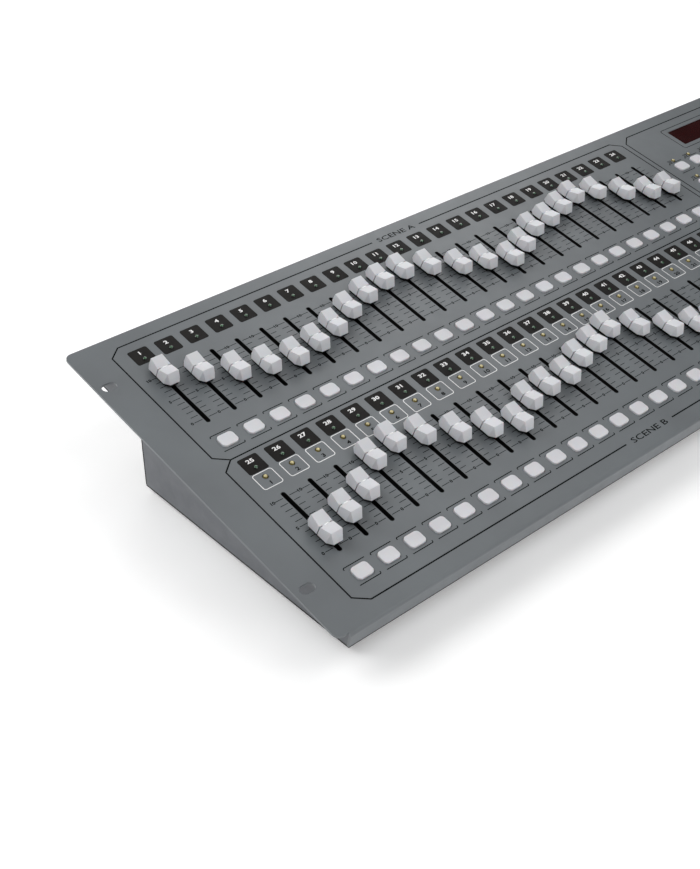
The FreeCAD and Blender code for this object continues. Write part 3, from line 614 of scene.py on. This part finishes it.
def cap_faces():
    """Corners of the finger cap, and its faces as loops of corner names."""
    top_x, top_s, top_z = CAP_TOP
    base_x, base_s, base_z = CAP_BASE
    corner_x, corner_s = CAP_CORNER
    saddle_x = top_x + (base_x - top_x) * (top_z - CAP_SADDLE) / (top_z - base_z)
    corners, faces = {}, []
    for i in (-1, 1):
        corners["saddle", i] = (i * saddle_x, 0, CAP_SADDLE)
        for j in (-1, 1):
            corners["top", i, j] = (i * top_x, j * top_s, top_z)
            corners["side", i, j] = (i * base_x, j * corner_s, base_z)
            corners["end", i, j] = (i * corner_x, j * base_s, base_z)
            faces.append([("top", i, j), ("side", i, j), ("end", i, j)])
        faces.append([("top", i, -1), ("saddle", i), ("top", i, 1), ("side", i, 1), ("side", i, -1)])
        faces.append([("top", -1, i), ("top", 1, i), ("saddle", 1), ("saddle", -1)])
        faces.append([("top", -1, i), ("top", 1, i), ("end", 1, i), ("end", -1, i)])
    faces.append([("end", -1, -1), ("end", 1, -1), ("side", 1, -1), ("side", 1, 1),
                  ("end", 1, 1), ("end", -1, 1), ("side", -1, 1), ("side", -1, -1)])
    return corners, faces


def cap_solid():
    corners, faces = cap_faces()
    bm = bmesh.new()
    verts = {key: bm.verts.new(place) for key, place in corners.items()}
    for loop in faces:
        bm.faces.new([verts[key] for key in loop])
    bmesh.ops.recalc_face_normals(bm, faces=bm.faces)
    bmesh.ops.bevel(bm, geom=list(bm.edges), offset=CAP_ROUNDING, segments=2, profile=0.6,
                    affect="EDGES", clamp_overlap=True)
    return mesh_of(bm, "cap_solid")


def cap_groove(side):
    """Cutter for the groove down the middle of one flank, sunk to an even depth."""
    width, depth = CAP_GROOVE
    rise = CAP_TOP[2] - CAP_BASE[2]
    slope = (CAP_BASE[0] - CAP_TOP[0]) / rise
    foot_x = CAP_BASE[0] - depth
    outer = CAP_BASE[0] + 3 * OVERCUT
    ends = ((CAP_BASE[2] - OVERCUT, foot_x + slope * OVERCUT), (CAP_TOP[2], foot_x - slope * rise))
    bm = bmesh.new()
    rings = []
    for z, inner in ends:
        outline = [(side * inner, -width / 2), (side * outer, -width / 2),
                   (side * outer, width / 2), (side * inner, width / 2)]
        rings.append(ring_verts(bm, outline, z))
    skin(bm, rings)
    bmesh.ops.recalc_face_normals(bm, faces=bm.faces)
    return mesh_of(bm, "cap_groove")


def skirt_outline():
    """Outline of the black skirt, painted shade under the cap, a little inside the foot of the cap."""
    inset = CAP_SHADE_SKIRT[0]
    x, s = CAP_BASE[0] - inset, CAP_BASE[1] - inset
    corner_x, corner_s = (corner - inset / 2 for corner in CAP_CORNER)
    return [(x, corner_s), (corner_x, s), (-corner_x, s), (-x, corner_s),
            (-x, -corner_s), (-corner_x, -s), (corner_x, -s), (x, -corner_s)]


def cap_prototype():
    """Cap and its pointer mark as material slots 0 and 1; its black skirt, which paints the shade under the cap,
    and its lever as slot 2.
    """
    body = carved(cap_solid(), [cap_groove(-1), cap_groove(1)], "cap")
    bm = bmesh.new()
    bm.from_mesh(body)
    length, width, proud = CAP_MARK
    edge_inset, edge_share = CAP_MARK_EDGE
    rings = []
    for inset, rise in ((0.0, -CAP_MARK_ROOT), (0.0, edge_share * proud), (edge_inset, proud)):
        outline = rounded(length - 2 * inset, width - 2 * inset, width / 2 - inset - ROUND_END)
        rings.append(ring_verts(bm, outline, CAP_SADDLE + rise))
    skin(bm, rings, 1)
    # Painted shade: a black skirt under the cap darkens the gap between the cap and the panel
    prism(bm, skirt_outline(), CAP_SHADE_SKIRT[1], CAP_BASE[2] + SHADE_SKIRT_SEAT, 2)
    carriage_x, carriage_s, foot, top = LEVER_CARRIAGE
    prism(bm, box_outline(*LEVER), top, CAP_BASE[2] + LEVER_SEAT, 2)
    prism(bm, box_outline(carriage_x, carriage_s), foot, top, 2)
    return mesh_of(bm, "cap", smooth_angle=20)


def master_faders():
    return [node for node in frame["nodes"] if node.endswith("_fader") or node.startswith("master_fader")]


def make_faders(materials):
    prototype = cap_prototype()
    finishes = [materials[name] for name in ("cap_plastic", "mark_white", "lever_and_shade_black")]
    groups = [node for node in frame["nodes"] if node.startswith("faders_")]
    for node in groups + master_faders():
        spots = [on_panel(x, s) for x, s in places(node)]
        caps = copies(node + "_caps", prototype, spots, *finishes)
        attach(caps, node)
        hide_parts(node)


def slot_places():
    """Middle (x, s) of every fader slot."""
    front_slot, rear_slot = slot_rows()
    front, rear = channel_rows()
    spots = [(x, front_slot) for x, _ in front] + [(x, rear_slot) for x, _ in rear]
    return spots + [(places(node)[0][0], front_slot) for node in master_faders()]


def make_slot_liners(materials):
    """Black liners over the slot walls: painted shade that keeps the slots dark inside."""
    width, length, wall, foot, top = SLOT_SHADE_LINER
    bm = bmesh.new()
    outer = rounded(width, length, width / 2 - ROUND_END)
    inner = rounded(width - 2 * wall, length - 2 * wall, width / 2 - wall - ROUND_END)
    rings = [ring_verts(bm, outline, z)
             for outline, z in ((inner, foot), (outer, foot), (outer, top), (inner, top))]
    skin(bm, rings + rings[:1], cap_low=False, cap_high=False)
    bmesh.ops.recalc_face_normals(bm, faces=bm.faces)
    spots = [on_panel(x, s) for x, s in slot_places()]
    liner = mesh_of(bm, "slot_liner", smooth_angle=40)
    liners = copies("slot_liners", liner, spots, materials["lever_and_shade_black"])
    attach(liners, "root")


# ---- buttons ----

def button_prototype():
    """Button cap with a rolled rim and a slightly dished top, over its retaining skirt."""
    width, length, corner = BUTTON
    reach, rise = BUTTON_SKIRT
    skirt_top = BUTTON_FOOT + rise
    bm = bmesh.new()
    prism(bm, box_outline(width + 2 * reach, length + 2 * reach), BUTTON_FOOT, skirt_top)
    rings = [ring_verts(bm, rounded(width, length, corner), skirt_top)]
    for step in range(BUTTON_EDGE_STEPS + 1):
        angle = math.radians(90 * step / BUTTON_EDGE_STEPS)
        inset = BUTTON_EDGE * (1 - math.cos(angle))
        z = BUTTON_TOP - BUTTON_EDGE * (1 - math.sin(angle))
        rings.append(ring_verts(bm, rounded(width - 2 * inset, length - 2 * inset, corner - inset), z))
    for inset, dish in BUTTON_DISH_RINGS:
        outline = rounded(width - 2 * inset, length - 2 * inset, corner - inset)
        rings.append(ring_verts(bm, outline, BUTTON_TOP - BUTTON_DISH * dish))
    skin(bm, rings, cap_low=False)
    return mesh_of(bm, "button", smooth_angle=40)


def make_buttons(materials):
    prototype = button_prototype()
    for node in frame["nodes"]:
        if "_buttons" in node:
            spots = [on_panel(x, s) for x, s in places(node)]
            caps = copies(node + "_caps", prototype, spots, materials["button_plastic"])
            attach(caps, node)
            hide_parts(node)


# ---- lamps ----

def circle(radius, around=20):
    turns = [2 * math.pi * step / around for step in range(around)]
    return [(radius * math.cos(turn), radius * math.sin(turn)) for turn in turns]


def lamp_prototype():
    """Lamp dome in its holder: slots are the tinted side, the crown with its painted highlight and the holder's
    rim.
    """
    bm = bmesh.new()
    rings = [ring_verts(bm, circle(LED_RADIUS * share), z) for share, z in LED_SIDE]
    skin(bm, rings, 0, cap_low=False, cap_high=False)
    crown = [ring_verts(bm, circle(LED_RADIUS * share), z) for share, z in LED_HIGHLIGHT_CROWN]
    skin(bm, rings[-1:] + crown, 1, cap_low=False)
    radius, foot, top = LED_RIM
    collar = [ring_verts(bm, circle(radius), z) for z in (foot, top)]
    skin(bm, collar + [rings[0]], 2, cap_high=False)
    return mesh_of(bm, "lamp", smooth_angle=60)


def make_lamps(materials):
    prototype = lamp_prototype()
    for node, tint in (("green_leds", "green"), ("amber_leds", "amber")):
        spots = [on_panel(x, s) for x, s in places(node)]
        lamps = copies(node + "_domes", prototype, spots, materials[tint + "_lens"],
                       materials[tint + "_highlight"], materials["lamp_rim"])
        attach(lamps, "root")
        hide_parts(node)


# ---- screws ----

def screw_prototype():
    """Pan-head screw with a cross recess and a thread; its shank runs along +Z from under the head."""
    radius, thick = SCREW_HEAD
    shank, length = SCREW_SHANK
    pitch, depth = SCREW_THREAD
    bm = bmesh.new()
    rings = [ring_verts(bm, circle(radius * share), thick * z) for share, z in SCREW_RINGS]
    rings.append(ring_verts(bm, circle(shank), 0.0))
    for step in range(1, int(2 * length / pitch)):
        rings.append(ring_verts(bm, circle(shank - depth * (step % 2)), step * pitch / 2))
    rings.append(ring_verts(bm, circle(shank - 2 * depth), length))
    skin(bm, rings)
    bmesh.ops.recalc_face_normals(bm, faces=bm.faces)
    solid = mesh_of(bm, "screw_solid")
    across, width, deep = SCREW_RECESS
    cutters = []
    for size in ((across, width), (width, across)):
        bm = bmesh.new()
        prism(bm, box_outline(*size), -thick - OVERCUT, deep - thick)
        cutters.append(mesh_of(bm, "screw_recess"))
    bm = bmesh.new()
    bm.from_mesh(carved(solid, cutters, "screw"))
    return mesh_of(bm, "screw", smooth_angle=35)


def clusters(node, reach_mm):
    """Points of a node, gathered round the first point of each item."""
    groups = []
    for vertex in frame["nodes"][node].data.vertices:
        point = vertex.co.copy()
        home = next((group for group in groups if (group[0] - point).length < reach_mm * MM), None)
        if home is None:
            groups.append([point])
        else:
            home.append(point)
    return groups


def screw_frames():
    """Matrix of each screw; its axis is the one along which its points span its whole length."""
    length = (SCREW_HEAD[1] + SCREW_SHANK[1]) * MM
    normal = (PANEL.to_3x3() @ Vector((0, 0, 1))).normalized()
    turns = []
    for axis in (Vector((0, 0, 1)), normal, Vector((0, -1, 0))):
        turns.append(axis.to_track_quat("Z", "X").to_matrix())
    frames = []
    for points in clusters("machine_screws", SCREW_REACH):
        fits = []
        for turn in turns:
            local = [turn.transposed() @ point for point in points]
            lows, highs = (Vector(side) for side in zip(*[extent(local, axis) for axis in range(3)]))
            fits.append((abs(highs.z - lows.z - length), lows, highs, turn))
        _, lows, highs, turn = min(fits, key=lambda fit: fit[0])
        middle = (lows + highs) / 2
        middle.z = lows.z + SCREW_HEAD[1] * MM
        frames.append(Matrix.Translation(turn @ middle) @ turn.to_4x4() @ Matrix.Scale(MM, 4))
    return frames


def make_screws(materials):
    screws = copies("pan_head_screws", screw_prototype(), screw_frames(), materials["plated_steel"])
    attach(screws, "root")
    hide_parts("machine_screws")


# ---- print ----

class Layer:
    """Thin ink shapes between two heights over a plane."""

    def __init__(self, name, heights):
        self.name = name
        self.heights = heights
        self.bm = bmesh.new()

    def slab(self, outline):
        prism(self.bm, outline, *self.heights)

    def stroke(self, path, width, closed=False):
        """Line of a width along a path, with mitred corners."""
        count = len(path)
        sides = []
        for i, point in enumerate(path):
            here = Vector(point)
            before = Vector(path[i - 1]) if closed or i else None
            after = Vector(path[(i + 1) % count]) if closed or i < count - 1 else None
            into = (here - before).normalized() if before is not None else (after - here).normalized()
            out = (after - here).normalized() if after is not None else into
            across = Vector((-into.y - out.y, into.x + out.x)).normalized()
            reach = width / 2 / max(MITRE_LEAST, across.dot(Vector((-into.y, into.x))))
            sides.append((here + across * reach, here - across * reach))
        low, high = self.heights
        for i in range(count if closed else count - 1):
            (left, right), (next_left, next_right) = sides[i], sides[(i + 1) % count]
            prism(self.bm, [tuple(right), tuple(next_right), tuple(next_left), tuple(left)], low, high)

    def text(self, body, x, s, height, stretch, weight):
        """Characters with their middle at a place, made from the built-in font."""
        curve = bpy.data.curves.new("text", "FONT")
        curve.body = body
        curve.align_x = "CENTER"
        curve.align_y = "CENTER"
        curve.size = height * FONT_SIZE
        curve.offset = weight
        curve.resolution_u = 2
        curve.extrude = (self.heights[1] - self.heights[0]) / 2
        item = bpy.data.objects.new("text", curve)
        bpy.context.scene.collection.objects.link(item)
        shape = evaluated_mesh(item)
        bpy.data.objects.remove(item)
        points = [vertex.co for vertex in shape.vertices]
        middle = [sum(extent(points, axis)) / 2 for axis in (0, 1)]
        shift = Matrix.Translation((x, s, sum(self.heights) / 2))
        wide = Matrix.Diagonal((stretch, 1, 1, 1))
        centre = Matrix.Translation((-middle[0], -middle[1], 0))
        start = len(self.bm.verts)
        self.bm.from_mesh(shape)
        self.bm.verts.ensure_lookup_table()
        bmesh.ops.transform(self.bm, matrix=shift @ wide @ centre, verts=self.bm.verts[start:])
        bpy.data.meshes.remove(shape)

    def finish(self, material, slot, plane=PANEL):
        bmesh.ops.transform(self.bm, matrix=plane, verts=self.bm.verts)
        item = new_object(self.name, mesh_of(self.bm, self.name), material)
        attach(item, "root")


def panel_size():
    points = panel_points("control_panel")
    return max(point.x for point in points), max(point.y for point in points)


def slot_rows():
    """s of the middle of the front and the rear row of fader slots."""
    points = panel_points("fader_housings")
    return [(s0 + s1) / 2 for s0, s1 in spans((point.y for point in points), ROW_GAP)]


def draw_borders(black, channels):
    """Chamfered borders of the two rows, open at their titles, and of the master section."""
    half_x, depth = panel_size()
    left = -half_x + BORDER_SIDE
    right = channels[-1] + (channels[0] - left)
    pitch = channels[1] - channels[0]
    title = channels[0] + (TITLE_CHANNEL - 1) * pitch
    rear, front = depth - BORDER_REAR, BORDER_FRONT
    cut_x, cut_s = BORDER_CHAMFER, CHAMFER_DEPTH
    gap0, gap1 = title - TITLE_GAP / 2, title + TITLE_GAP / 2
    for outer, step in ((rear, cut_s), (front, -cut_s)):
        inner = DIVIDER + step
        black.stroke([(gap0, outer), (left + cut_x, outer), (left, outer - step), (left, inner),
                      (left + cut_x, DIVIDER), (right - cut_x, DIVIDER), (right, inner),
                      (right, outer - step), (right - cut_x, outer), (gap1, outer)], BORDER_LINE)
    x0, x1 = right + SECTION_GAP, -left
    black.stroke([(x0 + cut_x, front), (x1 - cut_x, front), (x1, front + cut_s), (x1, rear - cut_s),
                  (x1 - cut_x, rear), (x0 + cut_x, rear), (x0, rear - cut_s), (x0, front + cut_s)],
                 BORDER_LINE, closed=True)
    black.text("SCENE A", title, rear, *TITLE_TEXT)
    black.text("SCENE B", title, front, *TITLE_TEXT)


def draw_scale(black, x, slot_s, pitch, last):
    """Marks on both sides of a slot, with 0, 5 and 10 beside the long ones at the left."""
    for step in range(SCALE_STEPS + 1):
        s = slot_s + TRAVEL * (step / SCALE_STEPS - 0.5)
        left, right = (SCALE_NEAR + reach for reach in SCALE_MINOR)
        if step % SCALE_LONG == 0:
            left = SCALE_DIGIT - SCALE_DIGIT_GAP
            right = right if last else pitch - SCALE_DIGIT - SCALE_DIGIT_GAP
            black.text(str(step), x - SCALE_DIGIT, s, *SCALE_TEXT)
        black.stroke([(x - left, s), (x - SCALE_NEAR, s)], TICK_LINE)
        black.stroke([(x + SCALE_NEAR, s), (x + right, s)], TICK_LINE)


def draw_brackets(black, x, s):
    """The rear line turns towards the front at its left end and the front line answers it."""
    width, length, hook, corner, short = BRACKET
    half_x, half_s = width / 2, length / 2
    line = [(-half_x, half_s - corner - hook), (-half_x, half_s - corner),
            (corner - half_x, half_s), (half_x - short, half_s)]
    for side in (-1, 1):
        black.stroke([(x + side * px, s + side * ps) for px, ps in line], BRACKET_LINE)


def draw_labels(layers, number, x, s):
    """Dark box round a channel's lamp, with its number behind the lamp."""
    width, length, corner = LABEL_BOX
    layers["box"].slab(rounded(width, length, corner, x, s + LABEL_RISE))
    layers["number"].text(str(number), x, s + LABEL_RISE + NUMBER_RISE, *NUMBER_TEXT)


def draw_memory(layers, number, x, s):
    """White outline round a memory lamp, with its number in front of the lamp."""
    width, length, corner = MEMORY_BOX
    layers["white"].stroke(rounded(width, length, corner, x, s - MEMORY_DROP), WHITE_LINE, closed=True)
    layers["black"].text(str(number), x, s - MEMORY_NUMBER_DROP, *MEMORY_TEXT)


def draw_master(layers, slot_label_s):
    """Dark boxes over the master faders, with a letter, a level wedge or speed chevrons."""
    width, length, corner = LABEL_BOX
    for node in master_faders():
        x, s = places(node)[0][0], slot_label_s + LABEL_RISE
        layers["box"].slab(rounded(width, length, corner, x, s))
        if node in MASTER_MARKS:
            layers["number"].text(MASTER_MARKS[node], x, s, *MASTER_TEXT)
        elif node.startswith("speed"):
            reach, rise, gap = CHEVRON
            for step in (-1, 0, 1):
                middle = x + step * (reach + gap)
                back, tip = middle - reach / 2, middle + reach / 2
                layers["number"].stroke([(back, s + rise), (tip, s), (back, s - rise)], gap)
        else:
            half_x, half_s = WEDGE[0] / 2, WEDGE[1] / 2
            layers["number"].slab([(x + half_x, s + half_s), (x - half_x, s - half_s),
                                   (x + half_x, s - half_s)])


def draw_functions(black, lamps):
    """Numbers beside the lamps of the program and the playback buttons, and a frame for the display."""
    for number, (x, s) in enumerate(lamps, 1):
        black.text(str(number), x + FUNCTION_SHIFT, s, *FUNCTION_TEXT)
    points = panel_points("display_module")
    middle = [sum(extent(points, axis)) / 2 for axis in (0, 1)]
    black.stroke(rounded(*DISPLAY_FRAME, *middle), BRACKET_LINE, closed=True)


def make_display(materials):
    """Unlit seven-segment digits on the display module, under the tinted window."""
    points = panel_points("display_module")
    middle, s = (sum(extent(points, axis)) / 2 for axis in (0, 1))
    top = extent(points, 2)[1]
    height, width, thick = DISPLAY_DIGIT
    digits = Layer("display_digits", (top, top + INK[1]))
    for index in range(DISPLAY_COUNT):
        x = middle + (index - (DISPLAY_COUNT - 1) / 2) * DISPLAY_SPACING
        for row in (-1, 0, 1):
            level = s + row * height / 2
            digits.stroke([(x - width / 2 + thick, level), (x + width / 2 - thick, level)], thick)
        for side in (-1, 1):
            for row in (-1, 1):
                end = s + row * (height / 2 - thick)
                digits.stroke([(x + side * width / 2, s + row * thick), (x + side * width / 2, end)], thick)
    digits.finish(materials["display_red"], "red_window")


def rear_plane():
    """Matrix from millimetres on the rear wall, seen from behind, to the row frame."""
    turned = Matrix(((-1, 0, 0), (0, 0, 1), (0, 1, 0))).transposed().to_4x4()
    turned.translation = Vector((0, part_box("rear_wall")[1].y, 0))
    return turned @ Matrix.Scale(MM, 4)


def make_rear_print(materials):
    """White frames round the switch and the sockets on the rear wall, with a number under each."""
    layer = Layer("print_rear", INK)
    for number, node in enumerate(REAR_ITEMS, 1):
        low, high = ([value / MM for value in corner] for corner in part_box(node))
        width, height = (high[axis] - low[axis] + 2 * REAR_FRAME_MARGIN for axis in (0, 2))
        x, z = -(low[0] + high[0]) / 2, (low[2] + high[2]) / 2
        layer.stroke(rounded(width, height, REAR_FRAME_CORNER, x, z), WHITE_LINE, closed=True)
        layer.text(str(number), x, z - height / 2 - REAR_TEXT[0], *REAR_TEXT)
    layer.finish(materials["ink_white"], "black_steel", rear_plane())


def make_print(materials):
    layers = {"black": Layer("print_black", INK), "box": Layer("print_boxes", INK),
              "white": Layer("print_white", INK), "number": Layer("print_numbers", INK_ON_INK)}
    black = layers["black"]
    rows = channel_rows()
    channels = [x for x, _ in rows[0]]
    pitch = channels[1] - channels[0]
    draw_borders(black, channels)
    front_slot, rear_slot = slot_rows()
    for slot_s, row, first in ((front_slot, rows[0], len(channels) + 1), (rear_slot, rows[1], 1)):
        for number, (x, s) in enumerate(row, first):
            draw_labels(layers, number, x, s)
            draw_scale(black, x, slot_s, pitch, (x, s) == row[-1])
    ambers = places("amber_leds")
    channels_end = channels[-1] + pitch / 2
    for number, (x, s) in enumerate([place for place in ambers if place[0] < channels_end], 1):
        draw_memory(layers, number, x, s)
    draw_functions(black, [place for place in ambers if place[0] > channels_end])
    draw_master(layers, rows[0][0][1])
    for node in frame["nodes"]:
        if "_buttons" in node:
            for x, s in places(node):
                draw_brackets(black, x, s)
    for node in master_faders():
        draw_scale(black, places(node)[0][0], front_slot, pitch, True)
    black.finish(materials["ink_black"], "panel_paint")
    layers["box"].finish(materials["ink_box"], "panel_paint")
    layers["white"].finish(materials["ink_white"], "panel_paint")
    layers["number"].finish(materials["ink_white"], "panel_paint")


# ---- CAD nodes and stage ----

def dress_nodes(materials):
    """Every CAD node takes the finish of its material slot."""
    for part in frame["record"]["subparts"]:
        item = frame["nodes"][part["node"]]
        item.data.materials.clear()
        item.data.materials.append(materials[part["material_slot"]])


def make_world():
    """White backdrop that lights the object only faintly."""
    world = bpy.data.worlds.new("studio")
    world.use_nodes = True
    tree = world.node_tree
    room = tree.nodes["Background"]
    backdrop = tree.nodes.new("ShaderNodeBackground")
    for background, strength in ((room, ROOM_STRENGTH), (backdrop, BACKDROP_STRENGTH)):
        background.inputs["Color"].default_value = linear(255)
        background.inputs["Strength"].default_value = strength
    rays = tree.nodes.new("ShaderNodeLightPath")
    mix = tree.nodes.new("ShaderNodeMixShader")
    tree.links.new(rays.outputs["Is Camera Ray"], mix.inputs[0])
    tree.links.new(room.outputs["Background"], mix.inputs[1])
    tree.links.new(backdrop.outputs["Background"], mix.inputs[2])
    tree.links.new(mix.outputs["Shader"], tree.nodes["World Output"].inputs["Surface"])
    bpy.context.scene.world = world


def make_stage(materials):
    bm = bmesh.new()
    bmesh.ops.create_grid(bm, x_segments=1, y_segments=1, size=FLOOR_SIDE / 2)
    floor = new_object("floor", mesh_of(bm, "floor"), materials["floor"])
    for name, (azimuth, elevation, distance, side, power) in SOFT_BOXES.items():
        towards = direction(azimuth, elevation)
        light = bpy.data.lights.new(name, "AREA")
        light.energy = power
        light.size = side
        item = bpy.data.objects.new(name, light)
        item.location = PANEL @ Vector(CAMERA_AIM) + towards * distance
        item.rotation_euler = (-towards).to_track_quat("-Z", "Y").to_euler()
        bpy.context.scene.collection.objects.link(item)
    make_world()
    bpy.context.scene.view_settings.view_transform = "Standard"


camera()
finishes = make_materials()
make_stage(finishes)
dress_nodes(finishes)
make_faders(finishes)
make_buttons(finishes)
make_slot_liners(finishes)
make_lamps(finishes)
make_screws(finishes)
make_display(finishes)
make_print(finishes)
make_rear_print(finishes)
